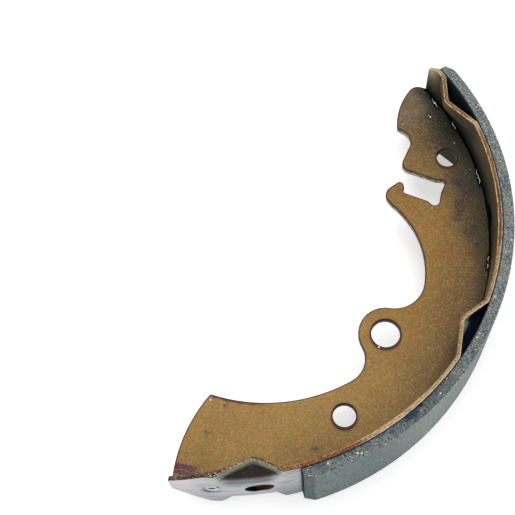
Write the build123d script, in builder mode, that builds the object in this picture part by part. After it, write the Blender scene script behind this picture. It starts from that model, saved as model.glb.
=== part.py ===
from build123d import *
import os
from math import cos, degrees, radians, sin, tan

os.makedirs("parts", exist_ok=True)

# A drum brake shoe: a flat web, a rolled rim welded to the web's edge and a bonded lining.
# Millimetres and degrees. The origin is the centre of the hold-down hole, on the web's
# mid-plane. +X points straight out to the lining and +Z runs along the drum axis.
# Angles go round the drum axis from the hold-down hole, positive towards the lever end.
# Depths are measured inwards from the rim's inner face.

# Overall sizes
drum_radius = 101.5
shoe_width = 38.0
lining_thickness = 4.2
rim_thickness = 1.7
web_thickness = 3.0

# Lining: square ends with the outer corner bevelled off
lining_lever_angle = 74.0
lining_plain_angle = -38.0
lining_bevel_depth = 1.8
lining_bevel_length = 3.7

# Rim: clipped corners, and two punched holes on the centre line
rim_lever_angle = 76.6
rim_plain_angle = -64.8
rim_lever_clip = 4.0
rim_plain_clip = 13.0
rim_hole_diameter = 10.0
rim_hole_angles = (39.8, -46.6)

# V dents pressed into both edges of the rim, where the shoe slides on its backing plate.
# The V is level for the length of its land, then ramps up to the rim over the rest of
# its reach.
dent_angles = (66.1, 9.4, -47.2)
dent_depth = 5.4
dent_lever_slope = 27.0
dent_plain_slope = 18.7
dent_land = 4.0
dent_reach = 9.0
dent_bend_radius = 0.5

# Holes in the web
hold_down_diameter = 10.4
hold_down_depth = 26.55
lever_pin_diameter = 7.7
lever_pin_depth = 9.55
lever_pin_angle = 57.35
spring_hole_diameter = 8.2
spring_hole_depth = 13.5
spring_hole_angle = -23.9

# Projection welds that stand on the web's edge and reach the rim
weld_gap = 0.4
weld_root = 0.8
weld_length = 7.0
weld_count = 7
weld_plain_angle = -56.4
weld_lever_angle = 72.0

# Angles where the outline meets the rim, and where the lobe round the hold-down hole ends
nose_angle = 79.0
abutment_angle = -64.5
lobe_lever_angle = 119.0
lobe_plain_angle = 245.0

# Radii of the web's outline
nose_tip_radius = 4.0
nose_flank_radius = 26.5
notch_radius = 5.3
slot_lip_radius = 3.2
slot_relief_radius = 1.85
hook_tip_radius = 1.2
hook_heel_radius = 4.0
lever_bay_radius = 34.9
lever_bay_end_radius = 11.3
lobe_radius = 9.9
plain_bay_start_radius = 9.7
plain_bay_radius = 61.1
abutment_radius = 53.3
corner_radius = 0.9

rim_outer_radius = drum_radius - lining_thickness
rim_inner_radius = rim_outer_radius - rim_thickness
web_radius = rim_inner_radius - weld_gap
rim_span = rim_lever_angle - rim_plain_angle
weld_span = weld_lever_angle - weld_plain_angle
drum = Plane(origin=(hold_down_depth - rim_inner_radius, 0, 0))
web_underside = drum.offset(-web_thickness / 2)
shoe_underside = drum.offset(-shoe_width / 2)


def polar(radius, angle):
    return Vector(radius * cos(radians(angle)), radius * sin(radians(angle)))


def web_point(depth, angle):
    return polar(rim_inner_radius - depth, angle)


# Corners of the web in order, from the nose at the lever end round the inside
nose = polar(web_radius, nose_angle)
notch_corner = web_point(20.2, 71.75)
notch_start = web_point(19.3, 70.0)
notch_end = web_point(21.6, 64.0)
slot_lip = web_point(28.2, 59.3)
slot_end_upper = web_point(14.0, 50.2)
slot_end_lower = web_point(17.8, 43.9)
hook_root = web_point(30.7, 50.2)
hook_tip_inner = web_point(28.1, 52.75)
hook_tip_outer = web_point(29.3, 54.55)
hook_heel = web_point(38.3, 52.4)
lever_bay_start = web_point(35.9, 46.3)
lever_bay_end = web_point(22.1, 18.4)
hold_down = web_point(hold_down_depth, 0)
lobe_start = hold_down + polar(lobe_radius, lobe_lever_angle)
lobe_end = hold_down + polar(lobe_radius, lobe_plain_angle)
plain_bay_start = web_point(22.7, -17.6)
plain_bay_end = web_point(31.4, -59.25)
abutment_end = polar(web_radius, abutment_angle)

# Relief circles that free the slot's inner corners
slot_relief_upper = web_point(15.8, 50.5)
slot_relief_lower = web_point(19.5, 44.75)

corner_radii = [
    (nose, nose_tip_radius),
    (notch_corner, corner_radius),
    (slot_lip, slot_lip_radius),
    (hook_root, hook_tip_radius),
    (hook_tip_inner, hook_tip_radius),
    (hook_tip_outer, hook_tip_radius),
    (hook_heel, hook_heel_radius),
    (plain_bay_end, corner_radius),
]

with BuildPart() as web:
    with BuildSketch(web_underside) as web_face:
        with BuildLine():
            RadiusArc(nose, notch_corner, -nose_flank_radius)
            Line(notch_corner, notch_start)
            RadiusArc(notch_start, notch_end, notch_radius)
            Polyline(
                notch_end, slot_lip, slot_end_upper, slot_end_lower,
                hook_root, hook_tip_inner, hook_tip_outer, hook_heel, lever_bay_start,
            )
            RadiusArc(lever_bay_start, lever_bay_end, lever_bay_radius)
            RadiusArc(lever_bay_end, lobe_start, lever_bay_end_radius)
            RadiusArc(lobe_start, lobe_end, -lobe_radius)
            RadiusArc(lobe_end, plain_bay_start, plain_bay_start_radius)
            RadiusArc(plain_bay_start, plain_bay_end, plain_bay_radius)
            RadiusArc(plain_bay_end, abutment_end, -abutment_radius)
            RadiusArc(abutment_end, nose, -web_radius)
        make_face()
        for corner, radius in corner_radii:
            fillet(web_face.vertices().sort_by_distance(corner)[0], radius)
        with Locations(slot_relief_upper, slot_relief_lower):
            Circle(slot_relief_radius, mode=Mode.SUBTRACT)
        with Locations(hold_down):
            Circle(hold_down_diameter / 2, mode=Mode.SUBTRACT)
        with Locations(web_point(lever_pin_depth, lever_pin_angle)):
            Circle(lever_pin_diameter / 2, mode=Mode.SUBTRACT)
        with Locations(web_point(spring_hole_depth, spring_hole_angle)):
            Circle(spring_hole_diameter / 2, mode=Mode.SUBTRACT)
    extrude(amount=web_thickness)
    with BuildSketch(web_underside):
        with PolarLocations(web_radius, weld_count, weld_plain_angle, weld_span, endpoint=True):
            Rectangle(2 * weld_root, weld_length)
        Circle(rim_inner_radius, mode=Mode.INTERSECT)
    extrude(amount=web_thickness)


# One pair of V punches about the drum axis, with the dent's centre on +X. Growth is how far
# the punch's skin stands out from the dent's outer side.
def dent_punch(growth):
    apex = rim_outer_radius - dent_depth
    floor = apex - dent_bend_radius
    edge = shoe_width / 2
    bend = edge - dent_land
    height = 4 * dent_depth
    ramp = (rim_outer_radius - floor) / (dent_reach - dent_land)
    with BuildPart() as punch:
        with BuildSketch() as vee:
            with BuildLine():
                Polyline(
                    (apex, 0),
                    (apex + height * tan(radians(dent_lever_slope)), height),
                    (apex + height * tan(radians(dent_plain_slope)), -height),
                    close=True,
                )
            make_face()
            fillet(vee.vertices().sort_by(Axis.X)[0], dent_bend_radius)
            offset(amount=growth)
        extrude(amount=shoe_width)
        with BuildSketch(Plane.XZ) as side:
            with BuildLine():
                Polyline(
                    (floor, edge + dent_land),
                    (floor, bend),
                    (floor + height * ramp, bend - height),
                    (floor + 2 * height, bend - height),
                    (floor + 2 * height, edge + dent_land),
                    close=True,
                )
            make_face()
            fillet(side.vertices().sort_by_distance((floor, bend))[0], dent_bend_radius)
            offset(amount=growth)
        extrude(amount=height, both=True, mode=Mode.INTERSECT)
        mirror(about=Plane.XY)
    return punch.part


dent_outside = dent_punch(0)
dent_inside = dent_punch(rim_thickness)
dent_stations = [drum.rotated((0, 0, angle)) for angle in dent_angles]
hole_stations = [drum.rotated((0, 0, angle)) for angle in rim_hole_angles]

with BuildPart() as rim:
    with BuildSketch(shoe_underside):
        with BuildLine():
            inner_arc = CenterArc((0, 0), rim_inner_radius, rim_plain_angle, rim_span)
            outer_arc = CenterArc((0, 0), rim_outer_radius, rim_plain_angle, rim_span)
            Line(inner_arc @ 0, outer_arc @ 0)
            Line(inner_arc @ 1, outer_arc @ 1)
        make_face()
    extrude(amount=shoe_width)
    # Clip the four corners of the strip at 45 degrees
    straight_edges = rim.edges().filter_by(GeomType.LINE)
    corner_edges = straight_edges.filter_by(Axis.Z, reverse=True).sort_by(Axis.Y)
    chamfer(corner_edges[:2], rim_plain_clip)
    chamfer(corner_edges[2:], rim_lever_clip)
    # Each dent is a V of the sheet's own thickness
    with Locations(*dent_stations):
        add(dent_inside)
    with Locations(drum):
        Cylinder(rim_outer_radius, shoe_width, mode=Mode.INTERSECT)
    with Locations(*dent_stations):
        add(dent_outside, mode=Mode.SUBTRACT)
    for station in hole_stations:
        with BuildSketch(station * Plane.YZ.offset(rim_inner_radius)):
            Circle(rim_hole_diameter / 2)
        extrude(amount=2 * rim_thickness, both=True, mode=Mode.SUBTRACT)

bevel_angle = degrees(lining_bevel_length / drum_radius)
bevel_radius = drum_radius - lining_bevel_depth
lining_span = lining_lever_angle - lining_plain_angle
face_start = lining_plain_angle + bevel_angle
face_span = lining_span - 2 * bevel_angle

with BuildPart() as lining:
    with BuildSketch(shoe_underside):
        with BuildLine():
            bond = CenterArc((0, 0), rim_outer_radius, lining_plain_angle, lining_span)
            face = CenterArc((0, 0), drum_radius, face_start, face_span)
            Polyline(bond @ 0, polar(bevel_radius, lining_plain_angle), face @ 0)
            Polyline(bond @ 1, polar(bevel_radius, lining_lever_angle), face @ 1)
        make_face()
    extrude(amount=shoe_width)

web.part.label = "web"
export_step(web.part, "parts/web.step")
rim.part.label = "rim"
export_step(rim.part, "parts/rim.step")
lining.part.label = "lining"
export_step(lining.part, "parts/lining.step")
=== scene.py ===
import math

import bmesh
import bpy
import numpy as np
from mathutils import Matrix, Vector


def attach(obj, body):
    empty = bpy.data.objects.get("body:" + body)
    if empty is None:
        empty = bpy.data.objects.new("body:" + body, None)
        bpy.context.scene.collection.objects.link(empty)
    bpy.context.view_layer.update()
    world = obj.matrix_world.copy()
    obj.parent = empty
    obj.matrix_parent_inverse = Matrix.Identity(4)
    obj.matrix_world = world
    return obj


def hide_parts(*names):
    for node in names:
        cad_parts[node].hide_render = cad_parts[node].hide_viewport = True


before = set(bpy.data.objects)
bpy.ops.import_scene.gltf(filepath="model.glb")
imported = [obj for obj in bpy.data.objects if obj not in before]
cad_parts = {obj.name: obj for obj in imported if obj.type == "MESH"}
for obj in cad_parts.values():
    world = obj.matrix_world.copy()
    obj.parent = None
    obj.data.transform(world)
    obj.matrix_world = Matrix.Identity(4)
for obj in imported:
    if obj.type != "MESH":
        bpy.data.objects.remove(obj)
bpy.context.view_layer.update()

# Shapes are worked out in millimetres about the drum axis, with angles in degrees from
# the hold-down hole, positive towards the lever end. toScene() then moves them to metres.
shoe = {
    "drumX": -69.05,         # the drum axis, seen from the hold-down hole
    "rimOuter": 97.3,
    "rimInner": 95.6,
    "drumRadius": 101.5,
    "halfWidth": 19.0,
    "degree": 1.7,           # length along the rim of one degree
}


def toScene(points):
    return (points + np.array([shoe["drumX"], 0.0, 0.0])) * 0.001


def polarPoints(radius, angle, z):
    # x and y from radius and angle, one row per point
    turn = np.radians(angle)
    return np.stack(np.broadcast_arrays(radius * np.cos(turn), radius * np.sin(turn), z), -1)


def softMin(a, b, width):
    # the lesser of two, with the corner between them rounded over a width
    overlap = np.clip(width - np.abs(a - b), 0, None) / width
    return np.minimum(a, b) - overlap ** 2 * width / 4


def softMax(a, b, width):
    # the greater of two, rounded likewise
    return -softMin(-a, -b, width)


def unit(steps):
    return steps / np.linalg.norm(steps, axis=-1, keepdims=True)


def wander(x, seed, pitch):
    # smooth random line through one random height every pitch, between -1 and 1
    heights = np.random.default_rng(seed).uniform(-1, 1, 4000)
    at = np.asarray(x) / pitch + 1000
    left = np.floor(at).astype(int)
    part = at - left
    ease = part * part * (3 - 2 * part)
    return heights[left] * (1 - ease) + heights[left + 1] * ease


def gridQuads(rows, cols):
    # quads of a grid whose last column joins the first
    row = np.arange(rows - 1)[:, None] * cols
    col = np.arange(cols)[None, :]
    after = (col + 1) % cols
    return np.stack([row + col, row + after, row + cols + after, row + cols + col], -1).reshape(-1, 4)


def tubeFaces(rows, cols, start=0):
    # the quads of a closed tube, and one face over each of its two ends
    end = np.arange(cols) + start
    return (gridQuads(rows, cols) + start).tolist() + [end.tolist(), (end + (rows - 1) * cols).tolist()]


def stationAngles(settings):
    # even steps along a piece, with closer ones at its two ends for their rounding
    close = np.array(settings["endSteps"])
    first, last = settings["plainEnd"], settings["leverEnd"]
    even = np.linspace(first + 0.3, last - 0.3, settings["stations"] - 2 * len(close))
    return np.concatenate([first + close, even, last - close[::-1]])


def degreesFromEnd(settings, angle):
    # from the nearer end of a piece
    return np.minimum(angle - settings["plainEnd"], settings["leverEnd"] - angle)


def endPull(fromEnd, size):
    # how far a quarter circle of that size draws the skin back near the end
    return size - np.sqrt(np.clip(size ** 2 - np.clip(size - fromEnd, 0, None) ** 2, 0, None))


def addObject(name, data):
    made = bpy.data.objects.new(name, data)
    bpy.context.scene.collection.objects.link(made)
    return made


def newPiece(name, points, faces, smooth=True):
    mesh = bpy.data.meshes.new(name)
    mesh.from_pydata(toScene(points).tolist(), [], faces)
    piece = addObject(name, mesh)
    work = bmesh.new()
    work.from_mesh(mesh)
    bmesh.ops.recalc_face_normals(work, faces=work.faces)
    work.to_mesh(mesh)
    work.free()
    if smooth:
        mesh.shade_smooth()
    return piece


def applyModifiers(piece):
    graph = bpy.context.evaluated_depsgraph_get()
    graph.update()
    done = bpy.data.meshes.new_from_object(piece.evaluated_get(graph))
    piece.modifiers.clear()
    old = piece.data
    piece.data = done
    bpy.data.meshes.remove(old)


def tag(piece, name, values):
    # one number per vertex, for the materials to read
    layer = piece.data.attributes.new(name, "FLOAT", "POINT")
    layer.data.foreach_set("value", np.asarray(values, np.float32).ravel())


def vertexPlaces(piece):
    # radius, angle and z of each vertex about the drum axis, in millimetres
    flat = np.empty(len(piece.data.vertices) * 3, np.float32)
    piece.data.vertices.foreach_get("co", flat)
    x, y, z = (flat.reshape(-1, 3).astype(float) * 1000).T
    x = x - shoe["drumX"]
    return np.hypot(x, y), np.degrees(np.arctan2(y, x)), z


rim = {
    "thickness": 1.7,
    "leverEnd": 76.6,
    "plainEnd": -64.8,
    "leverClip": 4.0,
    "plainClip": 13.0,
    "dents": (66.1, 9.4, -47.2),
    "dentDepth": 5.4,
    "leverSlope": 27.0,
    "plainSlope": 18.7,
    "land": 4.0,             # the V is level this far in from the edge
    "reach": 9.0,            # and its ramp meets the cylinder here
    "sink": 0.5,             # the ramp starts this far below the V
    "valleyBlend": 0.22,     # rounding at the bottom of the V
    "mouthBlend": 0.4,       # rounding where the V leaves the cylinder
    "rampBlend": 0.35,
    "plainClipBlend": 1.2,
    "leverClipBlend": 1.0,
    "outerRound": 0.32,      # rounding of the sheared edge's two corners
    "innerRound": 0.25,
    "endRound": 0.3,
    "ragged": ((0.05, 3, 0.8), (0.03, 4, 0.35)),   # the sheared edge's depth, seed and pitch
    "square": (14.5, 17.5),  # between these heights the sheet's cut turns square
    "edgeReach": 0.45,       # how far the sheared look reaches on to the skins
    "holes": (39.8, -46.6),
    "holeRadius": 5.0,
    "holeSteps": 72,
    # the punch's heights over the inner skin, with its growth at each
    "punch": ((-4.0, 0.0), (1.3, 0.0), (1.75, 0.25), (6.0, 0.25)),
    "stations": 470,
    "rows": ((0.42, 1, 23), (-0.34, 0.34, 7)),   # across the strip: over the dents, between
    "endSteps": (0, 0.05, 0.15),
}


def rimRadius(angle, z):
    # distance of the outer skin from the drum axis: a cylinder, less a V dent at each
    # station. A dent is the higher of its two flanks and its ramp.
    apex = shoe["rimOuter"] - rim["dentDepth"]
    height = np.abs(z)
    fromEdge = shoe["halfWidth"] - height
    slope = (rim["dentDepth"] + rim["sink"]) / (rim["reach"] - rim["land"])
    side = apex - rim["sink"] + np.maximum(fromEdge - rim["land"], 0) * slope
    radius = np.full(np.broadcast(angle, z).shape, shoe["rimOuter"])
    for centre in rim["dents"]:
        turn = np.clip(np.radians(angle - centre), -0.4, 0.4)
        leverFlank = apex / (np.cos(turn) - np.sin(turn) * math.tan(math.radians(rim["leverSlope"])))
        plainFlank = apex / (np.cos(turn) + np.sin(turn) * math.tan(math.radians(rim["plainSlope"])))
        vee = softMax(leverFlank, plainFlank, rim["valleyBlend"])
        pressed = softMax(vee, side / np.cos(turn), rim["rampBlend"])
        radius = softMin(radius, pressed, rim["mouthBlend"])
    return radius


def rimHalfWidth(angle):
    # half the strip's width: full, less the 45 degree clips at its two ends
    plainWay = np.radians(angle - rim["plainEnd"]) * shoe["rimOuter"]
    leverWay = np.radians(rim["leverEnd"] - angle) * shoe["rimOuter"]
    half = np.full(np.shape(angle), shoe["halfWidth"])
    half = softMin(half, shoe["halfWidth"] - rim["plainClip"] + plainWay, rim["plainClipBlend"])
    return softMin(half, shoe["halfWidth"] - rim["leverClip"] + leverWay, rim["leverClipBlend"])


def makeRim():
    # a sheet's section with rounded corners, carried along the arc over the dented cylinder
    angle = stationAngles(rim)
    pull = endPull(degreesFromEnd(rim, angle) * shoe["degree"], rim["endRound"])
    half = rimHalfWidth(angle) - pull
    for rough, seed, pitch in rim["ragged"]:
        half = half - rough * (1 + wander(angle, seed, pitch))

    # Once round the section: outer skin, upper edge, inner skin, lower edge
    thick = rim["thickness"]
    dense, between = (np.linspace(*part) for part in rim["rows"])
    skin = np.concatenate([-dense[::-1], between, dense])
    arc = np.radians([22.5, 45, 67.5, 90])
    outerDepth = rim["outerRound"] * (1 - np.cos(arc))
    outerInset = rim["outerRound"] * (1 - np.sin(arc))
    innerDepth = thick - rim["innerRound"] * (1 - np.cos(arc[::-1]))
    innerInset = rim["innerRound"] * (1 - np.sin(arc[::-1]))
    flat = np.linspace(outerDepth[-1], innerDepth[0], 6)[1:-1]
    edgeDepth = np.concatenate([outerDepth, flat, innerDepth])
    edgeInset = np.concatenate([outerInset, 0 * flat, innerInset])
    depth = np.concatenate([0 * skin, edgeDepth, 0 * skin + thick, edgeDepth[::-1]])
    column = half[:, None]
    z = np.concatenate([
        skin * (column - rim["outerRound"]),
        column - edgeInset,
        skin[::-1] * (column - rim["innerRound"]),
        -(column - edgeInset[::-1]),
    ], 1)
    a = angle[:, None] + 0 * z
    middle = thick / 2
    depth = middle + (depth[None, :] - middle) * (1 - pull[:, None] / middle)

    # Each point is set in from the outer skin along that skin's own normal
    radius = rimRadius(a, z)
    step = 0.02
    alongSlope = (rimRadius(a + step, z) - rimRadius(a - step, z)) / (2 * math.radians(step) * radius)
    acrossSlope = (rimRadius(a, z + step) - rimRadius(a, z - step)) / (2 * step)
    first, last = rim["square"]
    acrossSlope = acrossSlope * np.clip((last - np.abs(z)) / (last - first), 0, 1)
    length = np.sqrt(1 + alongSlope ** 2 + acrossSlope ** 2)
    turn = np.radians(a)
    x = (radius - depth / length) * np.cos(turn) - alongSlope * depth / length * np.sin(turn)
    y = (radius - depth / length) * np.sin(turn) + alongSlope * depth / length * np.cos(turn)
    points = np.stack([x, y, z + acrossSlope * depth / length], -1)
    piece = newPiece("rimSheet", points.reshape(-1, 3), tubeFaces(*z.shape))

    # The two punched holes, with a slight lead-in on the outer side
    steps = rim["holeSteps"]
    height, growth = np.array(rim["punch"]).T[:, :, None]
    around = np.radians(np.arange(steps) * 360 / steps)
    u = (rim["holeRadius"] + growth) * np.cos(around)
    v = (rim["holeRadius"] + growth) * np.sin(around)
    out = shoe["rimInner"] + height + 0 * u
    for centre in rim["holes"]:
        cut = np.radians(centre)
        ring = np.stack([out * np.cos(cut) - u * np.sin(cut), out * np.sin(cut) + u * np.cos(cut), v], -1)
        punch = newPiece("punch", ring.reshape(-1, 3), tubeFaces(len(height), steps), smooth=False)
        change = piece.modifiers.new("hole", "BOOLEAN")
        change.operation = "DIFFERENCE"
        change.solver = "EXACT"
        change.object = punch
        applyModifiers(piece)
        bpy.data.objects.remove(punch)
    return piece


def tagRim(piece):
    # edge: 1 on the sheared edge; across: 0 at the outer skin, 1 at the inner skin;
    # press: how far the skin is pushed in
    radius, angle, z = vertexPlaces(piece)
    outer = rimRadius(angle, z)
    fromEdge = rimHalfWidth(angle) - np.abs(z)
    fromEnd = degreesFromEnd(rim, angle) * shoe["degree"]
    tag(piece, "edge", np.clip(1 - np.minimum(fromEdge, fromEnd) / rim["edgeReach"], 0, 1))
    tag(piece, "press", shoe["rimOuter"] - outer)
    step = 0.05
    slope = (rimRadius(angle + step, z) - rimRadius(angle - step, z)) / (2 * math.radians(step) * outer)
    tag(piece, "across", np.clip((outer - radius) / (rim["thickness"] * np.sqrt(1 + slope ** 2)), 0, 1))


rimSheet = makeRim()
tagRim(rimSheet)
print("rim made", len(rimSheet.data.polygons))

web = {
    "halfThickness": 1.5,
    # inset and height of the punched edge's section, from face to face
    "rolled": ((0.8, 1.5), (0.42, 1.5), (0.24, 1.47), (0.1, 1.38), (0.02, 1.22), (0.0, 0.95),
               (0.0, 0.1), (0.03, -0.5), (0.06, -1.25), (0.1, -1.42), (0.2, -1.5), (0.8, -1.5)),
    "edgeFade": (94.0, 95.0),  # no rolled edge where the plate is welded to the rim
    "seam": (95.1, 95.5),      # the weld's squeeze fills most of the gap between the two
    # corners of the strut slot's flared end and of the hook: radius, angle and fillet
    "slotEnd": ((75.9, 53.5, 0), (78.6, 51.9, 2.0), (82.6, 51.1, 1.25), (79.2, 47.9, 3.0),
                (76.6, 42.5, 1.9), (73.5, 45.8, 1.5), (65.1, 50.3, 0.9), (66.1, 51.8, 2.5),
                (66.3, 55.0, 1.5), (56.8, 51.9, 3.95), (59.2, 47.3, 0)),
    "filletSteps": 9,
}


def plateLoops(node, height):
    # the closed outlines of a CAD plate's upper face, in order, in millimetres about the drum
    work = bmesh.new()
    work.from_mesh(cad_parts[node].data)
    bmesh.ops.remove_doubles(work, verts=work.verts, dist=1e-6)
    upper = [f for f in work.faces if min(v.co.z for v in f.verts) > height * 0.001 - 1e-6]
    chosen = set(upper)
    follow = {}
    for face in upper:
        for loop in face.loops:
            if not any(f in chosen for f in loop.edge.link_faces if f is not face):
                follow[loop.vert] = loop.link_loop_next.vert
    loops = []
    while follow:
        start, at = next(iter(follow.items()))
        line = [start]
        del follow[start]
        while at is not start:
            line.append(at)
            at = follow.pop(at)
        loops.append(np.array([v.co[:2] for v in line]) * 1000 - [shoe["drumX"], 0])
    work.free()
    return loops


def insetLoop(line, distance):
    # every corner moves inwards along the half-angle of its two sides
    before = unit(line - np.roll(line, 1, 0))
    after = unit(np.roll(line, -1, 0) - line)
    inward = unit(np.stack([-(before + after)[:, 1], (before + after)[:, 0]], 1))
    cosHalf = np.clip(inward[:, 0] * -after[:, 1] + inward[:, 1] * after[:, 0], 0.6, 1)
    return line + inward * (distance / cosHalf)[:, None]


def roundedPath(corners):
    # at each corner, an arc that touches both of its sides
    radius, angle, fillet = np.array(corners).T
    at = polarPoints(radius, angle, 0)[:, :2]
    path = [at[:1]]
    for before, here, after, size in zip(at, at[1:], at[2:], fillet[1:]):
        back, ahead = (unit(p - here) for p in (before, after))
        half = np.arccos(np.clip(back @ ahead, -1, 1)) / 2
        centre = here + unit(back + ahead) * size / np.sin(half)
        first, last = (here + side * size / np.tan(half) - centre for side in (back, ahead))
        t = np.linspace(0, 1, web["filletSteps"])[:, None]
        turn = np.pi - 2 * half
        path.append(centre + (np.sin((1 - t) * turn) * first + np.sin(t * turn) * last) / np.sin(turn))
    return np.concatenate(path + [at[-1:]])


def nearestSide(line, point):
    # the side of a closed outline that passes nearest to a point
    sides = np.roll(line, -1, 0) - line
    along = np.clip(((point - line) * sides).sum(1) / (sides ** 2).sum(1), 0, 1)
    return int(np.argmin(np.linalg.norm(line + sides * along[:, None] - point, axis=1)))


def reshape(line, path):
    # the path takes the place of the outline between the sides on which its ends lie
    first, last = nearestSide(line, path[0]), nearestSide(line, path[-1])
    rest = np.roll(line, -(last + 1), 0)[:(first - last) % len(line)]
    return np.concatenate([rest, path])


def makeWeb():
    # the rolled profile carried round every outline of the plate, with both faces filled in
    points, faces, edgeTag = [], [], []
    topRings, bottomRings = [], []
    low, high = web["edgeFade"]
    outlines = sorted(plateLoops("web", web["halfThickness"]), key=len)
    outlines[-1] = reshape(outlines[-1], roundedPath(web["slotEnd"]))
    for line in outlines:
        radius = np.hypot(line[:, 0], line[:, 1])
        seamed = np.where(radius > web["seam"][0], np.maximum(radius, web["seam"][1]), radius)
        line = line * (seamed / radius)[:, None]
        fade = np.clip((high - radius) / (high - low), 0.04, 1)
        start = sum(len(p) for p in points)
        rows = []
        for inset, z in web["rolled"]:
            ring = insetLoop(line, inset * fade)
            rows.append(np.column_stack([ring, np.full(len(ring), z)]))
            edgeTag.append(np.full(len(ring), np.clip(1 - (inset - 0.1) / 0.5, 0, 1)) * (radius < high))
        points += rows
        faces += (gridQuads(len(rows), len(line)) + start).tolist()
        topRings.append(start + np.arange(len(line)))
        bottomRings.append(topRings[-1] + (len(rows) - 1) * len(line))
    mesh = bpy.data.meshes.new("webPlate")
    mesh.from_pydata(toScene(np.concatenate(points)).tolist(), [], faces)
    work = bmesh.new()
    work.from_mesh(mesh)
    work.verts.ensure_lookup_table()
    for rings in (topRings, bottomRings):
        edges = []
        for ring in rings:
            corners = [work.verts[i] for i in ring]
            edges += [work.edges.get((a, b)) for a, b in zip(corners, corners[1:] + corners[:1])]
        bmesh.ops.triangle_fill(work, use_beauty=True, edges=edges)
    bmesh.ops.recalc_face_normals(work, faces=work.faces)
    for face in work.faces:
        face.smooth = len(face.verts) == 4
    work.to_mesh(mesh)
    work.free()
    piece = addObject("webPlate", mesh)
    tag(piece, "edge", np.concatenate(edgeTag))
    return piece


webPlate = makeWeb()
print("web made", len(webPlate.data.polygons))

lining = {
    "leverEnd": 74.0,
    "plainEnd": -38.0,
    "bevelDepth": 1.8,
    "bevelLength": 3.7,
    "round": 0.22,
    "stations": 260,
    "endSteps": (0, 0.04, 0.13),
    "bevelBlend": 0.1,
    "grit": 0.035,
}


def makeLining():
    # a rectangle carried along the arc, whose outer side comes in at both ends
    angle = stationAngles(lining)
    way = np.radians(degreesFromEnd(lining, angle)) * shoe["drumRadius"]
    pull = endPull(way, lining["round"])
    bevel = shoe["drumRadius"] - lining["bevelDepth"] * (1 - way / lining["bevelLength"])
    top = softMin(shoe["drumRadius"] + 0 * way, bevel, lining["bevelBlend"]) - pull
    half = shoe["halfWidth"] - pull
    skin = np.linspace(-1, 1, 49)
    rise = np.linspace(0, 1, 8)[1:-1]
    arc = np.radians([22.5, 45, 67.5])
    corner = lining["round"]
    column, edge = top[:, None], half[:, None]
    base = shoe["rimOuter"] + 0 * column
    wall = base + (column - corner - base) * rise
    inset = corner * (1 - np.sin(arc))
    drop = corner * (1 - np.cos(arc))
    radius = np.concatenate([
        column + 0 * skin,
        column - drop,
        wall[:, ::-1],
        base + 0 * skin,
        wall,
        column - drop[::-1],
    ], 1)
    z = np.concatenate([
        skin * (edge - corner),
        edge - inset,
        edge + 0 * rise,
        skin[::-1] * edge,
        -edge + 0 * rise,
        -edge + inset[::-1],
    ], 1)
    a = angle[:, None] + 0 * z
    rough = np.random.default_rng(11).normal(0, lining["grit"], z.shape)
    bonded = len(skin) + len(arc) + len(rise)
    rough[:, bonded:bonded + len(skin)] = 0
    radius = radius - np.abs(rough)
    z = z - np.sign(z) * np.abs(np.random.default_rng(12).normal(0, lining["grit"], z.shape))
    return newPiece("liningBlock", polarPoints(radius, a, z).reshape(-1, 3), tubeFaces(*z.shape))


liningBlock = makeLining()
print("lining made", len(liningBlock.data.polygons))

weld = {
    # angle, radius, length and thickness of each strand of the flashes, in millimetres
    "strands": ((72.6, 94.4, 2.8, 0.2), (71.5, 93.9, 2.8, 0.17), (64.9, 94.9, 2.4, 0.24),
                (64.0, 94.6, 1.6, 0.2), (51.0, 94.8, 3.4, 0.15), (49.2, 94.5, 3.2, 0.18),
                (29.2, 94.8, 2.6, 0.12), (27.5, 94.6, 2.4, 0.14), (7.3, 94.6, 2.4, 0.18),
                (-14.6, 94.7, 3.4, 0.18), (-37.1, 94.7, 3.0, 0.18)),
    "bows": (-0.4, 0.5),     # how far the strands bend out and in, by turns
    "rings": 22,
    "sides": 12,
}


def makeWelds():
    # thin bent beads on the plate at each weld: a circle carried along a short arc, thickest
    # in the middle and wandering a little
    points, faces = [], []
    t = np.linspace(0, 1, weld["rings"])[:, None]
    around = np.radians(np.arange(weld["sides"]) * 360 / weld["sides"])[None, :]
    for number, (centre, middle, length, width) in enumerate(weld["strands"]):
        for side in (1, -1):
            seed = 20 + 2 * number + (side > 0)
            fromMiddle = (2 * t - 1) ** 2
            thick = width * np.sqrt(np.clip(1 - fromMiddle, 0.01, 1)) * (1 + 0.2 * wander(t * 5, seed, 1))
            angle = centre + np.degrees(length / middle) * (t - 0.5) + 0 * around
            bow = weld["bows"][number % 2] * (fromMiddle - 0.5) + 0.08 * wander(t * 4, seed + 40, 1)
            radius = np.minimum(middle - bow, web["seam"][0]) + thick * np.cos(around)
            z = side * (web["halfThickness"] + 0.7 * thick * np.sin(around))
            start = len(points) * weld["rings"] * weld["sides"]
            points.append(polarPoints(radius, angle, z).reshape(-1, 3))
            faces += tubeFaces(weld["rings"], weld["sides"], start)
    return newPiece("weldFlashes", np.concatenate(points), faces)


weldFlashes = makeWelds()
print("welds made", len(weldFlashes.data.polygons))


def tone(red, green, blue):
    # a written screen colour as the linear colour that the shader takes
    part = [c / 255 for c in (red, green, blue)]
    return tuple(c / 12.92 if c < 0.04045 else ((c + 0.055) / 1.055) ** 2.4 for c in part) + (1.0,)


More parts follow.
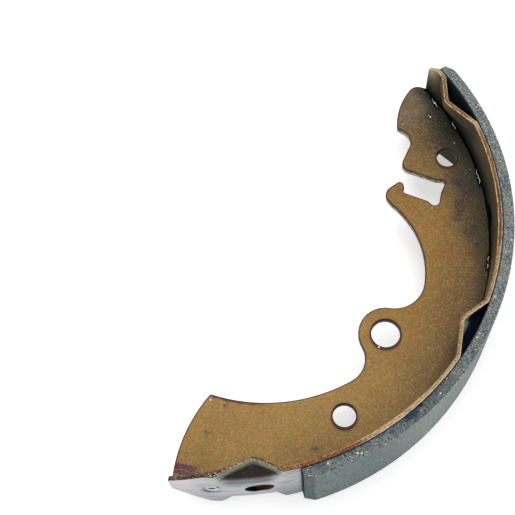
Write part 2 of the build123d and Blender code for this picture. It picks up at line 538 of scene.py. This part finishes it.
class Wire:
    # one socket of a material; sums on it add Math nodes
    def __init__(self, paint, socket):
        self.paint = paint
        self.socket = socket

    def maths(self, operation, *terms):
        return self.paint.node("ShaderNodeMath", {"operation": operation}, dict(enumerate(terms)))

    def __add__(self, other):
        return self.maths("ADD", self, other)

    def __sub__(self, other):
        return self.maths("SUBTRACT", self, other)

    def __rsub__(self, other):
        return self.maths("SUBTRACT", other, self)

    def __mul__(self, other):
        return self.maths("MULTIPLY", self, other)

    def __truediv__(self, other):
        return self.maths("DIVIDE", self, other)

    def __abs__(self):
        return self.maths("ABSOLUTE", self)

    __radd__ = __add__
    __rmul__ = __mul__

    def root(self):
        return self.maths("SQRT", self)

    def most(self, other):
        return self.maths("MAXIMUM", self, other)

    def over(self, low, high):
        # 0 below low, 1 above high, eased between; low may be the greater
        if low > high:
            return 1 - self.over(high, low)
        values = {"Value": self, "From Min": low, "From Max": high}
        return self.paint.node("ShaderNodeMapRange", {"interpolation_type": "SMOOTHSTEP"}, values)

    def band(self, low, high, soft):
        # 1 between low and high, easing to 0 over soft on either side
        return self.over(low - soft, low) * self.over(high + soft, high)

    def coat(self, factor, top, *more):
        # a tone laid over this colour by a factor, then more pairs of the two
        colour = self.paint.blend(factor, self, top)
        return colour.coat(*more) if more else colour


class Paint:
    # one material, its nodes and its list of tones
    def __init__(self, name, look=None):
        self.look = look
        self.material = bpy.data.materials.new(name)
        self.material.use_nodes = True
        self.tree = self.material.node_tree
        self.tree.nodes.clear()

    def node(self, kind, settings=None, values=None, out=0):
        made = self.tree.nodes.new(kind)
        for key, value in (settings or {}).items():
            setattr(made, key, value)
        for key, value in (values or {}).items():
            if isinstance(value, Wire):
                self.tree.links.new(value.socket, made.inputs[key])
            else:
                made.inputs[key].default_value = value
        return Wire(self, made.outputs[out])

    def blend(self, factor, first, second):
        # first at 0, second at 1; each is a colour, or the name of a tone on the list
        first, second = (self.look[c] if isinstance(c, str) else c for c in (first, second))
        return self.node("ShaderNodeMix", {"data_type": "RGBA"}, {0: factor, 6: first, 7: second}, 2)

    def place(self):
        # object coordinates in millimetres about the drum axis, with radius and angle
        where = self.node("ShaderNodeTexCoord", out="Object")
        self.spot = self.node("ShaderNodeVectorMath", {"operation": "SCALE"}, {0: where, "Scale": 1000.0})
        moved = self.node("ShaderNodeVectorMath", {"operation": "SUBTRACT"},
                          {0: self.spot, 1: (shoe["drumX"], 0.0, 0.0)})
        self.x, self.y, self.z = (
            self.node("ShaderNodeSeparateXYZ", None, {0: moved}, axis) for axis in "XYZ")
        self.radius = (self.x * self.x + self.y * self.y).root()
        self.angle = self.y.maths("ARCTAN2", self.y, self.x) * (180 / math.pi)

    def noise(self, pitch, detail=2.0, rough=0.5, at=None, bend=0.0):
        # cloudy pattern, features about pitch millimetres across, around 0.5
        values = {"Vector": at or self.spot, "Scale": 1 / pitch, "Detail": detail,
                  "Roughness": rough, "Distortion": bend}
        return self.node("ShaderNodeTexNoise", None, values)

    def cells(self, pitch, out="Distance"):
        return self.node("ShaderNodeTexVoronoi", None, {"Vector": self.spot, "Scale": 1 / pitch}, out)

    def chances(self, pitch):
        # three random numbers for each cell, to choose which cells are chips
        colour = self.cells(pitch, "Color")
        return (self.node("ShaderNodeSeparateColor", None, {0: colour}, part) for part in (0, 1, 2))

    def attribute(self, name):
        return self.node("ShaderNodeAttribute", {"attribute_name": name}, None, "Fac")

    def stretched(self, along, out, across):
        # coordinates that follow the rim: arc length, radius and z, each over its own pitch
        values = {0: self.angle * (shoe["degree"] / along), 1: self.radius / out, 2: self.z / across}
        return self.node("ShaderNodeCombineXYZ", None, values)

    def far(self, x, y):
        # distance from a point on the web
        dx = self.x - float(x)
        dy = self.y - float(y)
        return (dx * dx + dy * dy).root()

    def disc(self, radius, angle, size, soft):
        # 1 within size millimetres of a place on the web, easing to 0 over soft
        return self.far(*polarPoints(radius, angle, 0)[:2]).over(size + soft, size)

    def oval(self, across, up, wide, high):
        # distance from a place in steps of an oval's half width and half height
        across = across / wide
        up = up / high
        return (across * across + up * up).root()

    def patch(self, radius, angle, along, out):
        # the same about a place on the web, along the arc and out across it
        turned = (self.angle - angle) * (radius * math.pi / 180)
        return self.oval(turned, self.radius - radius, along, out)

    def finish(self, colour, roughness, metallic, bumps=(), specular=0.5):
        normal = None
        for height, distance, strength in bumps:
            values = {"Height": height, "Distance": distance * 0.001, "Strength": strength}
            if normal:
                values["Normal"] = normal
            normal = self.node("ShaderNodeBump", None, values)
        values = {"Base Color": colour, "Roughness": roughness, "Metallic": metallic,
                  "Specular IOR Level": specular}
        if normal:
            values["Normal"] = normal
        return self.close(self.node("ShaderNodeBsdfPrincipled", None, values))

    def close(self, shader):
        end = self.tree.nodes.new("ShaderNodeOutputMaterial")
        self.tree.links.new(shader.socket, end.inputs["Surface"])
        return self.material


webLook = {
    "honey": tone(137, 106, 54),
    "toffee": tone(127, 93, 43),
    "lever": tone(100, 79, 48),     # duller brown of the lever end
    "umber": tone(62, 48, 32),
    "teal": tone(36, 52, 48),
    # soot, and near-black painted shade in the gap at the rim
    "sootAndShade": tone(6, 8, 11),
    "slate": tone(100, 92, 84),
    "plum": tone(52, 37, 50),
    "violet": tone(72, 32, 60),
    "wine": tone(76, 26, 28),
    "rolled": tone(54, 34, 28),     # the burr along every punched edge
    "scald": tone(112, 62, 38),
    "cut": tone(168, 156, 146),
    "cutDark": tone(70, 66, 60),
    # painted shade on the walls inside the holes
    "boreShade": tone(38, 44, 42),
    "fleck": tone(232, 232, 228),
    "sand": tone(188, 156, 100),
    "bark": tone(84, 60, 36),
    "russet": tone(150, 98, 58),
    "moss": tone(122, 116, 66),
    "seam": 95.2,                   # radius of the joint with the rim
    # place by radius and angle, size and strength of the ring of each hole
    "holes": ((86.05, 57.35, 3.85, 0.75), (69.05, 0.0, 5.2, 0.9), (82.1, -23.9, 4.1, 1.0)),
    "ringShift": (0.5, -0.67),      # the rings are wide on this side and thin on the other
    "bay": (61.1, (72.9, -17.6), (64.2, -59.25)),   # radius and ends of the plain side's bay
    # place and size of the heat stains, and of small bright nicks painted white as glints, and dark pits
    "plumSpots": ((87.6, 50.2, 4.4), (89.4, 46.8, 4.0), (86.2, 43.4, 4.2), (88.4, 36.2, 3.6),
                  (89.9, 33.0, 2.4), (84.9, 61.6, 4.0), (87.6, 55.6, 4.2), (84.0, 40.0, 2.6),
                  (67.7, -54.2, 1.1), (78.4, -58.6, 1.3), (88.6, -33.4, 2.0)),
    "nicksAndGlints": ((89.0, 69.5, 0.3), (88.7, 70.1, 0.16), (78.1, 71.8, 0.2), (91.3, 60.3, 0.22),
              (92.5, 66.0, 0.16), (70.4, -4.7, 0.34), (66.4, -58.9, 0.3), (92.6, 52.4, 0.14)),
    "pits": ((88.5, 70.5, 0.4), (89.3, 71.0, 0.26), (88.1, 69.0, 0.26), (78.6, 72.4, 0.4),
             (77.6, 71.1, 0.3), (84.3, 48.2, 0.3), (85.7, 39.3, 0.34), (90.6, -60.1, 0.3),
             (91.6, -58.9, 0.2)),
}


def bayCentre():
    # centre of the arc of the plain side's bay, from its radius and two ends
    radius, *ends = webLook["bay"]
    first, last = (polarPoints(*end, 0)[:2] for end in ends)
    chord = last - first
    length = np.hypot(*chord)
    inward = np.array([chord[1], -chord[0]]) / length
    return (first + last) / 2 + inward * math.sqrt(radius ** 2 - length ** 2 / 4)


def paintWeb():
    look = webLook
    p = Paint("webSteel", look)
    p.place()
    edge = p.attribute("edge")
    depth = look["seam"] - p.radius
    clouds = p.noise(8, 4, 0.6)
    blots = p.noise(2.4, 4, 0.75)
    colour = p.blend(p.angle.over(-12, 12), "honey", "toffee")
    colour = colour.coat(p.angle.over(44, 62) * 0.6, "lever")
    colour = colour.coat(p.noise(22, 3, 0.5).over(0.35, 0.65) * 0.14, "umber")
    # colour drifts between russet and moss over a few millimetres
    drift = p.noise(3.4, 4, 0.7)
    colour = colour.coat(drift.over(0.49, 0.6) * 0.22, "russet")
    colour = colour.coat(drift.over(0.5, 0.4) * 0.24, "moss")
    # browner towards the rim, over a wide strip at the lever side: painted shade from the rim above
    reach = 16 + 6 * p.angle.over(-15, 8) - 10 * p.angle.over(71, 78) + 5 * (clouds - 0.5)
    rimShade = (depth / reach).over(1.1, -0.1)
    rimShade = rimShade * (0.22 + 0.28 * p.angle.over(-50, -34) + 0.3 * p.angle.over(-18, 8))
    colour = colour.coat(rimShade, "umber")
    # dark strip along the rim, ragged and deepest towards the lever end: partly grease, partly painted
    # shade in the corner by the rim
    reach = 2 + 3.5 * p.angle.over(-12, 8) + 12.5 * p.angle.over(20, 44) * p.angle.over(78, 64)
    greaseAndShade = (depth / (reach * (0.35 + p.noise(5, 4, 0.7) + 0.3 * blots))).over(1.15, 0.0)
    dirtAndShade = greaseAndShade * (0.16 + 0.45 * p.angle.over(-5, 40) + 0.28 * p.angle.over(42, 49))
    colour = colour.coat(dirtAndShade, "teal")
    # grey bloom on the nose
    bloom = p.angle.over(66, 75) * clouds.over(0.34, 0.6)
    colour = colour.coat(bloom * 0.75 * p.radius.over(94, 90), "slate")
    # plum heat stains, broken up by the blots
    stain = 0
    for radius, angle, size in look["plumSpots"]:
        stain = p.disc(radius, angle, size * 0.3, size * 1.2).most(stain)
    speckle = p.noise(3.0, 6, 0.8, bend=0.5)
    ragged = (stain * 0.22 + speckle).over(0.58, 0.74) * stain.over(0.0, 0.5)
    ragged = ragged * (0.25 + 0.75 * p.noise(1.3, 4, 0.85).over(0.44, 0.54))
    colour = colour.coat(ragged * 0.85, "plum")
    # sooty smudges over the lever end
    smudge = p.noise(4.5, 5, 0.8, bend=0.4).over(0.48, 0.62) * p.angle.over(22, 40)
    smudge = smudge * (depth / 20).over(1.0, 0.4)
    colour = colour.coat(smudge * 0.42, "teal")
    # wine red and violet paint left along the plain end
    fromBay = p.far(*bayCentre()) - look["bay"][0]
    red = (1.3 - fromBay + (blots - 0.5) * 1.6).over(0.0, 0.5) * p.angle.over(-40, -48)
    red = red * fromBay.over(2.0, 1.0)
    colour = colour.coat(red * 0.9, "wine")
    sway = p.radius + (p.noise(3, 3, 0.7) - 0.5) * 2.4
    streak = sway.band(90.1, 91.8, 0.3) * (p.angle + 5 * (blots - 0.5)).over(-58.8, -61.4)
    tail = p.angle.over(-61, -54)
    second = (0.9 - 0.35 * tail - abs(sway - 92.9 + 1.8 * tail)).over(0.0, 0.3)
    streak = streak.most(second * p.angle.over(-53, -54.5))
    colour = colour.coat(streak * blots.over(0.3, 0.42) * 0.92, "violet")
    # sandy grain
    grain = p.noise(0.62, 3, 0.9)
    colour = colour.coat(grain.over(0.5, 0.7) * (0.5 - 0.3 * greaseAndShade), "sand")
    colour = colour.coat(grain.over(0.5, 0.3) * 0.5, "bark")
    # burnt rolled ring round each hole, and the hole's wall painted dark as shade
    wall = p.z.over(1.42, 1.2)
    burnt = p.blend(blots.over(0.36, 0.56), "wine", "rolled")
    boreShade = 0
    for radius, angle, size, strength in look["holes"]:
        fromRing = p.far(*(polarPoints(radius, angle, 0)[:2] + look["ringShift"]))
        ring = fromRing.over(size + 0.8, size + 0.35)
        ring = ring.most(p.disc(radius, angle, size + 0.2, 0.25) * 0.55)
        halo = fromRing.over(size + 1.6, size + 0.7)
        colour = colour.coat(halo * strength * 0.45, "scald")
        colour = colour.coat(ring * strength, burnt)
        boreShade = p.disc(radius, angle, size + 0.12, 0.1).most(boreShade)
    # dark burr along the punched edge, then the cut wall with its torn lower half
    burr = p.blend(p.noise(7, 2).over(0.45, 0.6), "rolled", "wine")
    colour = colour.coat(edge.over(0.08, 0.55) * (0.72 + 0.25 * p.noise(3.4, 3).over(0.35, 0.6)), burr)
    torn = p.noise(1.5, 3, 0.65)
    cut = p.blend((torn + p.z * 0.12).over(0.38, 0.62), "cut", "cutDark")
    # the walls inside the holes painted dark as shade, with lighter torn flecks, most on the plain side
    cut = cut.coat(boreShade * 0.95, "boreShade")
    cut = cut.coat(boreShade * torn.over(0.56, 0.64) * p.angle.over(5, -5).most(0.3) * 0.5, "cut")
    colour = colour.coat(wall * edge.over(0.4, 0.9), cut)
    # near-black painted shade in the gap at the rim, and soot round the weld flashes; none on the plain
    # side
    width = (0.9 * blots + 0.5 * clouds - 0.2) * (0.2 + 0.8 * p.angle.over(26, 31))
    gap = (depth - width).over(0.3, -0.1)
    colour = colour.coat(gap * (0.7 + 0.26 * p.angle.over(24, 30)) * p.angle.over(-2, 12), "sootAndShade")
    for angle, radius, span, width in weld["strands"]:
        burn = p.patch(radius - 0.1, angle, 0.8 * span + 0.6, width + 0.6)
        burn = (burn + (blots - 0.5) * 1.2).over(1.15, 0.75) * 0.9 * p.angle.over(0, 12)
        colour = colour.coat(burn, "sootAndShade")
    # a few bright nicks painted white as glints, and dark pits
    for spots, soft, strength, name in (("pits", 0.6, 0.7, "sootAndShade"), ("nicksAndGlints", 0.8, 0.9, "fleck")):
        for radius, angle, size in look[spots]:
            colour = colour.coat(p.disc(radius, angle, size * 0.5, size * soft) * strength, name)
    roughness = 0.44 + 0.16 * clouds + 0.12 * greaseAndShade
    bumps = ((grain, 0.05, 0.25), (p.noise(4.5, 3), 0.07, 0.2))
    metallic = (0.32 + 0.5 * greaseAndShade * p.angle.over(10, 40)).most(gap)
    return p.finish(colour, roughness, metallic, bumps, 0.22)


rimLook = {
    "skin": tone(90, 78, 54),
    "skinDark": tone(62, 62, 50),
    "teal": tone(50, 60, 58),
    "olive": tone(100, 91, 62),
    "sheen": tone(146, 134, 104),
    "shadeBelow": tone(50, 52, 34),      # the half below the plate, painted darker as shade
    "rustSkin": tone(92, 52, 34),
    "cream": tone(192, 170, 132),
    "gold": tone(166, 122, 72),
    "pale": tone(206, 190, 170),
    "khaki": tone(142, 112, 76),
    "tan": tone(112, 72, 38),
    "copper": tone(100, 60, 28),
    "rust": tone(78, 38, 16),
    "blood": tone(90, 28, 12),
    "mauve": tone(122, 106, 112),
    "drab": tone(92, 74, 46),
    "cocoa": tone(72, 46, 38),
    "bare": tone(186, 187, 188),
    "bareDark": tone(142, 146, 150),
    "blueGrey": tone(98, 110, 122),
    "lowerShade": tone(98, 102, 98),
    "shade": tone(62, 70, 80),
    "blush": tone(200, 184, 184),
    "sage": tone(136, 138, 120),
    "sageDark": tone(60, 66, 56),
    "dentBrown": tone(36, 23, 13),
    "shadeBlack": tone(3, 6, 15),
    "navyShade": tone(14, 30, 50),       # painted shade on the rim where it faces the lining
    "glint": tone(196, 202, 170),
    "charAndShade": tone(30, 22, 24),
    "glare": tone(236, 232, 236),
    # the weld's mark on the outside, a dent painted with its light and shade: its angle and z, then
    # along, up, half width, half height, tone and strength of its spots
    "markAt": (-56.3, 1.2),
    "mark": ((-0.5, -3.4, 3.6, 3.4, "shade", 0.6), (-1.9, 0.2, 1.1, 1.9, "sageDark", 0.8),
             (-1.1, -3.6, 1.8, 1.3, "charAndShade", 0.85), (0.3, 0.3, 2.1, 3.0, "glare", 0.75),
             (0.3, 0.9, 1.5, 1.7, "charAndShade", 1.0), (2.6, 3.2, 0.6, 1.2, "charAndShade", 0.95)),
    "holeDegree": 1.68,             # length of one degree halfway through the sheet
}


def paintRim():
    look = rimLook
    p = Paint("rimSteel", look)
    p.place()
    edge = p.attribute("edge")
    across = p.attribute("across")
    press = p.attribute("press")
    grain = p.noise(0.8, 3, 0.75)
    clouds = p.noise(9, 4, 0.6)
    blots = p.noise(2.4, 4, 0.7)
    high = abs(p.z)
    # inside: dark teal near the web, darker there as painted shade in the corner, lighter and browner
    # towards the edge
    colour = p.blend((high + (clouds - 0.5) * 9).over(1, 17), "skinDark", "skin")
    colour = colour.coat(
        p.angle.over(38, 26) * 0.6, "olive",
        # sheen: a painted pool of light on the inner face below about 26 degrees, near the web
        p.angle.over(31, 21) * p.z.over(17, 6) * 0.8, "sheen",
        # painted shade on the inner side of the lever dent
        p.angle.band(68.5, 72, 1.5) * p.z.over(5, 7) * 0.6, "dentBrown",
        p.noise(5, 3, 0.6).over(0.54, 0.68) * 0.5, "rustSkin",
        p.noise(6.4, 3, 0.6).over(0.56, 0.72) * 0.4, "olive")
    tip = p.angle.over(72.8, 76) * (p.z + (blots - 0.5) * 5).over(2, 16)
    colour = colour.coat(tip * 0.85, p.blend(p.z.over(9, 18), "olive", "cream"))
    murk = (high + (blots - 0.5) * 5).over(10, 3)
    murk = murk * (0.08 + 0.3 * p.angle.over(24, 36) + 0.42 * p.angle.over(38, 50))
    murk = murk.most(p.angle.band(57, 63, 2) * 0.4)
    colour = colour.coat(
        murk, "teal",
        # painted shade below the plate
        p.z.over(-1.5, -2.2) * 0.75, "shadeBelow",
        # near-black painted shade in the seam just above the plate
        high.over(2.3, 1.4) * (0.25 + 0.35 * p.angle.over(26, 44)), "shadeBlack")
    # outside: navy painted shade behind the lining, with a painted glint by the bend of the middle dent
    outside = across.over(0.6, 0.35)
    glint = press.over(3.2, 4.8) * p.z.over(9.5, 13.5) * p.angle.band(8, 9.8, 1.4)
    back = p.blend(glint, "navyShade", "glint")
    colour = colour.coat(outside, back)
    # bare and streaked past the lining's end, pinker towards the tip, with painted shade lower down
    # beside the dent
    streak = p.noise(1.0, 3, 0.6, at=p.stretched(9.0, 1.0, 0.5))
    smear = p.noise(1.0, 3, 0.6, at=p.stretched(16.0, 1.0, 3.0))
    steel = p.blend(streak.over(0.3, 0.7) * 0.5 + smear.over(0.3, 0.65) * 0.5, "bareDark", "bare")
    steel = steel.coat(
        smear.over(0.46, 0.3) * 0.5, "blueGrey",
        p.angle.over(-58, -61.5) * p.z.over(-6, 4) * 0.7, "blush",
        p.z.over(-11, -18.5) * 0.4, "blueGrey",
        # painted shade, darker lower down beside the dent
        p.z.over(8, -14) * p.angle.over(-46, -42) * 0.6, "lowerShade")
    # the upper dent: light and dark bands along its V, a brown hollow and a soft painted shadow at its
    # foot
    hollow = p.z.over(8.2, 11.5) * press.over(0.2, 1.9)
    brown = p.blend(blots.over(0.46, 0.66) * 0.5, "dentBrown", "sageDark")
    steel = steel.coat(hollow, brown)
    # painted shadow below the hollow
    steel = steel.coat(p.z.over(4.5, 10.5) * p.angle.band(-52, -45, 3) * 0.6, "dentBrown")
    bent = p.z.over(14.2, 14.8) * press.over(0.15, 0.6)
    stripe = p.blend(p.z.band(16.0, 16.7, 0.4), "sage", "sageDark")
    stripe = stripe.coat(p.z.over(17.2, 16.2) * 0.5, "sageDark")
    steel = steel.coat(bent, stripe)
    steel = steel.coat(p.z.over(18.2, 18.6) * press.over(0.15, 0.6) * 0.8, "sageDark")
    # the weld's mark, a small dent painted with its light and shade: a dark pit of painted shade in a
    # painted highlight ring, painted shadows to one side, and a dark speck
    markAngle, markHeight = look["markAt"]
    around = (p.angle - markAngle) * shoe["degree"]
    pit = 0
    for along, up, wide, tall, name, strength in look["mark"]:
        spot = p.oval(around - along, p.z - markHeight - up, wide, tall).over(1.3, 0.6) * strength
        steel = steel.coat(spot, name)
        if name == "charAndShade":
            pit = spot.most(pit)
    # the punched hole's wall, painted near black as shade, rusty on one side
    rust = p.blend((p.angle + 3 * blots).over(-46.4, -43.6) * 0.9, "shadeBlack", "rustSkin")
    holeTurn = (p.angle - rim["holes"][1]) * look["holeDegree"]
    inHole = (holeTurn * holeTurn + p.z * p.z).root().over(5.12, 5.02)
    steel = steel.coat(inHole, rust)
    past = p.angle.over(-37.6, -38.4)
    colour = colour.coat(outside * past, steel)
    colour = colour.coat(inHole * past, rust)
    # sheared edge: a rough strip between two fine bright lines. Its tan runs to rust at
    # the lever side and to copper, then grey, towards the plain end
    gravel = p.noise(0.7, 3, 0.8)
    fibres = p.noise(0.9, 3, 0.65, at=p.stretched(3.0, 0.8, 1.0))
    rusty = p.angle.band(30.5, 42, 3)
    middle = p.blend(p.angle.over(71, 75) * 0.8 + p.angle.band(57, 59, 1.5) * 0.5, "tan", "pale")
    middle = middle.coat(
        rusty, p.blend(fibres.over(0.42, 0.58), "rust", "blood"),
        p.angle.band(-23, 26, 3), "khaki",
        p.angle.band(-20, 0, 4) * 0.45, "cream",
        p.angle.over(-24, -28), "copper",
        p.angle.over(-46, -49) * 0.7, "khaki",
        p.angle.over(-52, -54), "cocoa",
        p.angle.over(-61, -63) * 0.7, "mauve",
        gravel.over(0.52, 0.6) * (0.3 + 0.4 * p.angle.band(-23, 26, 3)), "cream",
        gravel.over(0.48, 0.4) * 0.7, "rust",
        fibres.over(0.42, 0.34) * p.angle.over(6, -6) * 0.6, "rust")
    inner = p.blend(fibres.over(0.4, 0.6), "gold", "cream").coat(p.angle.band(-8, 26, 3), "drab")
    inner = inner.coat(p.angle.over(-24, -28), p.blend(fibres.over(0.38, 0.56), "tan", "gold"))
    edgeTone = middle.coat(across.over(0.7, 0.84) * (0.35 + 0.6 * fibres.over(0.36, 0.5)), inner)
    rolled = across.over(0.32, 0.16) * (0.3 + 0.6 * fibres.over(0.42, 0.54))
    rolled = rolled * p.angle.over(-28, -22) * (1 - 0.35 * p.angle.over(42, 46))
    edgeTone = edgeTone.coat(rolled, "pale")
    ridge = across.band(0.46, 0.54, 0.1) * gravel.over(0.46, 0.56) * p.angle.band(-22, 27, 3)
    edgeTone = edgeTone.coat(ridge * 0.6, "gold")
    # burnished lip on the dent in the open, pink and sage, and charred crumbs beyond it
    lip = p.angle.over(-42.2, -43.2) * across.over(0.5, 0.3)
    edgeTone = edgeTone.coat(lip * 0.8 * p.angle.over(-57, -54), "sage")
    crumbs = (gravel + 0.5 * (blots - 0.5)).over(0.52, 0.46)
    charred = p.angle.over(-42, -44) * 0.45 + p.angle.over(-51, -53) * 0.45
    edgeTone = edgeTone.coat(crumbs * charred, "charAndShade")
    flaked = gravel.over(0.58, 0.66) * (0.2 + 0.45 * p.angle.over(-40, -46))
    edgeTone = edgeTone.coat(flaked, "cream")
    colour = colour.coat(edge.over(0.12, 0.5), edgeTone)
    colour = colour.coat(grain.over(0.55, 0.75) * 0.12, "cream")
    bared = outside * past * (1 - hollow.most(pit))
    roughness = 0.52 - 0.14 * bared + 0.1 * clouds
    metallic = (0.3 + 0.45 * bared).most(murk)
    bumps = ((grain, 0.05, 0.3), (streak, 0.03, 0.3), (gravel * edge, 0.2, 0.5))
    return p.finish(colour, roughness, metallic, bumps, 0.2)


liningLook = {
    "side": tone(112, 120, 120),
    "sideDark": tone(50, 60, 64),
    "sideLight": tone(164, 168, 164),
    "face": tone(108, 122, 122),
    "faceLight": tone(152, 161, 158),
    "faceDark": tone(72, 86, 88),
    "end": tone(22, 34, 40),
    "chalk": tone(222, 224, 216),
    "brass": tone(166, 140, 92),
    "black": tone(24, 30, 34),
    "blue": tone(28, 50, 68),
    "bond": tone(16, 25, 36),
}


def paintLining():
    p = Paint("frictionCompound", liningLook)
    p.place()
    fine = p.noise(0.7, 4, 0.85)
    coarse = p.noise(3.6, 3, 0.6)
    tint = p.noise(5.5, 3, 0.6)
    colour = p.blend(fine.over(0.38, 0.5), "sideDark", "side")
    colour = colour.coat(
        fine.over(0.51, 0.62) * 0.85, "sideLight",
        coarse.over(0.5, 0.72) * 0.3, "sideDark",
        tint.over(0.54, 0.64) * 0.14, "brass",
        tint.over(0.46, 0.36) * 0.3, "blue")
    # bluish and darker along the rim towards the plain end
    low = p.angle.over(2, -8) * p.radius.over(99.8, 97.8) * coarse.over(0.3, 0.6)
    colour = colour.coat(low * 0.5, "blue")
    colour = colour.coat(p.angle.over(18, 8) * 0.2 + p.angle.band(-14, -5, 4) * 0.3, "sideDark")
    # worn face and bevels, lighter towards the middle
    worn = p.radius.over(101.15, 101.4)
    rubbed = p.noise(0.8, 5, 0.9, at=p.stretched(1.6, 1.0, 0.7))
    face = p.blend(p.angle.over(-25, -8), "face", "faceLight")
    face = face.coat(rubbed.over(0.5, 0.57) * 0.5, "sideLight")
    face = face.coat(rubbed.over(0.5, 0.43) * 0.75, "faceDark")
    bevel = p.angle.over(-35.6, -36.2).most(p.angle.over(71.6, 72.2)) * p.radius.over(99.6, 99.8)
    face = face.coat(bevel * 0.42, "sideDark")
    colour = colour.coat(worn.most(bevel * abs(p.z).over(18.9, 18.7)), face)
    # the end face painted dark as shade
    endFace = p.angle.over(-37.8, -37.95) * p.radius.over(99.9, 99.7)
    colour = colour.coat(endFace * (0.86 + 0.14 * fine.over(0.56, 0.48)), "end")
    # chips of chalk, brass and carbon in the mix
    for pitch, share in ((1.15, 0.045), (0.7, 0.07)):
        chip = p.cells(pitch).over(0.42, 0.22) * (1 - 0.55 * worn)
        first, second, third = p.chances(pitch)
        dark = second.over(share * 2.2, share * 2.2 - 0.01)
        colour = colour.coat(
            chip * first.over(1 - share, 1.01 - share) * 0.7, "chalk",
            chip * dark * 0.7, "black",
            chip * third.over(1 - share, 1.01 - share) * 0.6, "brass")
    # a blue-black run by the rim, and the dark bond line
    run = (p.patch(97.9, -14.4, 3.6, 1.9) + (fine - 0.5) * 3.0).over(1.1, 0.7)
    colour = colour.coat(run * p.z.over(15, 17) * 0.85, "blue")
    spot = (p.patch(97.6, -11.4, 0.9, 0.9) + (fine - 0.5) * 1.2).over(1.1, 0.8)
    colour = colour.coat(spot * 0.85, "black")
    bond = (p.radius + (fine - 0.5) * 0.4 - 0.4 * endFace).over(97.85, 97.5)
    colour = colour.coat(bond * 0.9, "bond")
    bumps = ((fine, 0.14, 0.6), (coarse, 0.15, 0.3))
    return p.finish(colour, 0.85 - 0.1 * worn, 0.0, bumps, 0.05)


weldLook = {"dull": tone(120, 126, 122), "bright": tone(238, 240, 238)}


def paintWeld():
    p = Paint("weldMetal", weldLook)
    p.place()
    colour = p.blend(p.noise(0.9, 3).over(0.4, 0.6), "dull", "bright")
    return p.finish(colour, 0.3 + 0.1 * p.noise(0.5, 1), 0.6, ((p.noise(0.4, 2), 0.06, 0.5),))


for piece, material, slot, node in (
        (webPlate, paintWeb(), "web_steel", "web"),
        (rimSheet, paintRim(), "rim_steel", "rim"),
        (liningBlock, paintLining(), "friction_compound", "lining")):
    piece.data.materials.clear()
    piece.data.materials.append(material)
    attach(piece, "root")
    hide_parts(node)
weldFlashes.data.materials.append(paintWeld())
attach(weldFlashes, "root")
print("materials made")

stage = {
    "floorZ": -0.0190,
    "floorSize": 6.0,
    "ownLight": 0.2,         # how much of the floor's white is its own light
    "glow": 2.4,             # strength of that own light
    "world": 0.62,           # strength of the light from all round
    # place, size and power of each soft lamp; they aim at the origin
    "lamps": {"overhead": ((-0.15, 0.10, 0.75), 0.6, 4.2), "front": ((0.35, -0.55, 0.35), 0.5, 1.6)},
}


def makeFloor():
    half = stage["floorSize"] / 2
    corners = [(-half, -half), (half, -half), (half, half), (-half, half)]
    mesh = bpy.data.meshes.new("floor")
    mesh.from_pydata([(x, y, stage["floorZ"]) for x, y in corners], [], [(0, 1, 2, 3)])
    floor = addObject("floor", mesh)
    p = Paint("floorPaper")
    seen = 0
    for ray in ("Is Camera Ray", "Is Glossy Ray", "Is Transmission Ray"):
        seen = p.node("ShaderNodeLightPath", out=ray).most(seen)
    matt = p.node("ShaderNodeBsdfDiffuse", None, {"Color": (0.93, 0.93, 0.93, 1)})
    glow = p.node("ShaderNodeEmission", None, {"Color": (1, 1, 1, 1), "Strength": stage["glow"]})
    p.close(p.node("ShaderNodeMixShader", None, {0: seen * stage["ownLight"], 1: matt, 2: glow}))
    mesh.materials.append(p.material)


def makeLight():
    world = bpy.data.worlds.new("studio")
    bpy.context.scene.world = world
    world.use_nodes = True
    tree = world.node_tree
    tree.nodes.clear()
    path = tree.nodes.new("ShaderNodeLightPath")
    strength = tree.nodes.new("ShaderNodeMix")
    strength.inputs[2].default_value = stage["world"]
    strength.inputs[3].default_value = 1.0
    back = tree.nodes.new("ShaderNodeBackground")
    end = tree.nodes.new("ShaderNodeOutputWorld")
    tree.links.new(path.outputs["Is Camera Ray"], strength.inputs[0])
    tree.links.new(strength.outputs[0], back.inputs["Strength"])
    tree.links.new(back.outputs[0], end.inputs["Surface"])
    for name, (place, size, power) in stage["lamps"].items():
        light = bpy.data.lights.new(name, "AREA")
        light.size = size
        light.energy = power
        lamp = addObject(name, light)
        lamp.location = place
        lamp.rotation_euler = (-Vector(place)).to_track_quat("-Z", "Y").to_euler()


camera = {
    "place": (0.061637, -0.122374, 0.382123),
    "tilt": 23.869,           # up from straight down
    "turn": 36.776,
    "lens": 78.45,
    "centre": (319.13, 247.69),   # where the lens axis meets the 515 pixel frame
    "frame": 515.0,
}


def makeCamera():
    data = bpy.data.cameras.new("camera")
    data.sensor_width = 36.0
    data.sensor_fit = "HORIZONTAL"
    data.lens = camera["lens"]
    data.shift_x = (camera["frame"] / 2 - camera["centre"][0]) / camera["frame"]
    data.shift_y = (camera["centre"][1] - camera["frame"] / 2) / camera["frame"]
    data.clip_start = 0.01
    view = addObject("camera", data)
    view.location = camera["place"]
    view.rotation_euler = (math.radians(camera["tilt"]), 0.0, math.radians(camera["turn"]))
    bpy.context.scene.camera = view


makeFloor()
makeLight()
makeCamera()
bpy.context.scene.view_settings.view_transform = "Standard"

print("scene made")
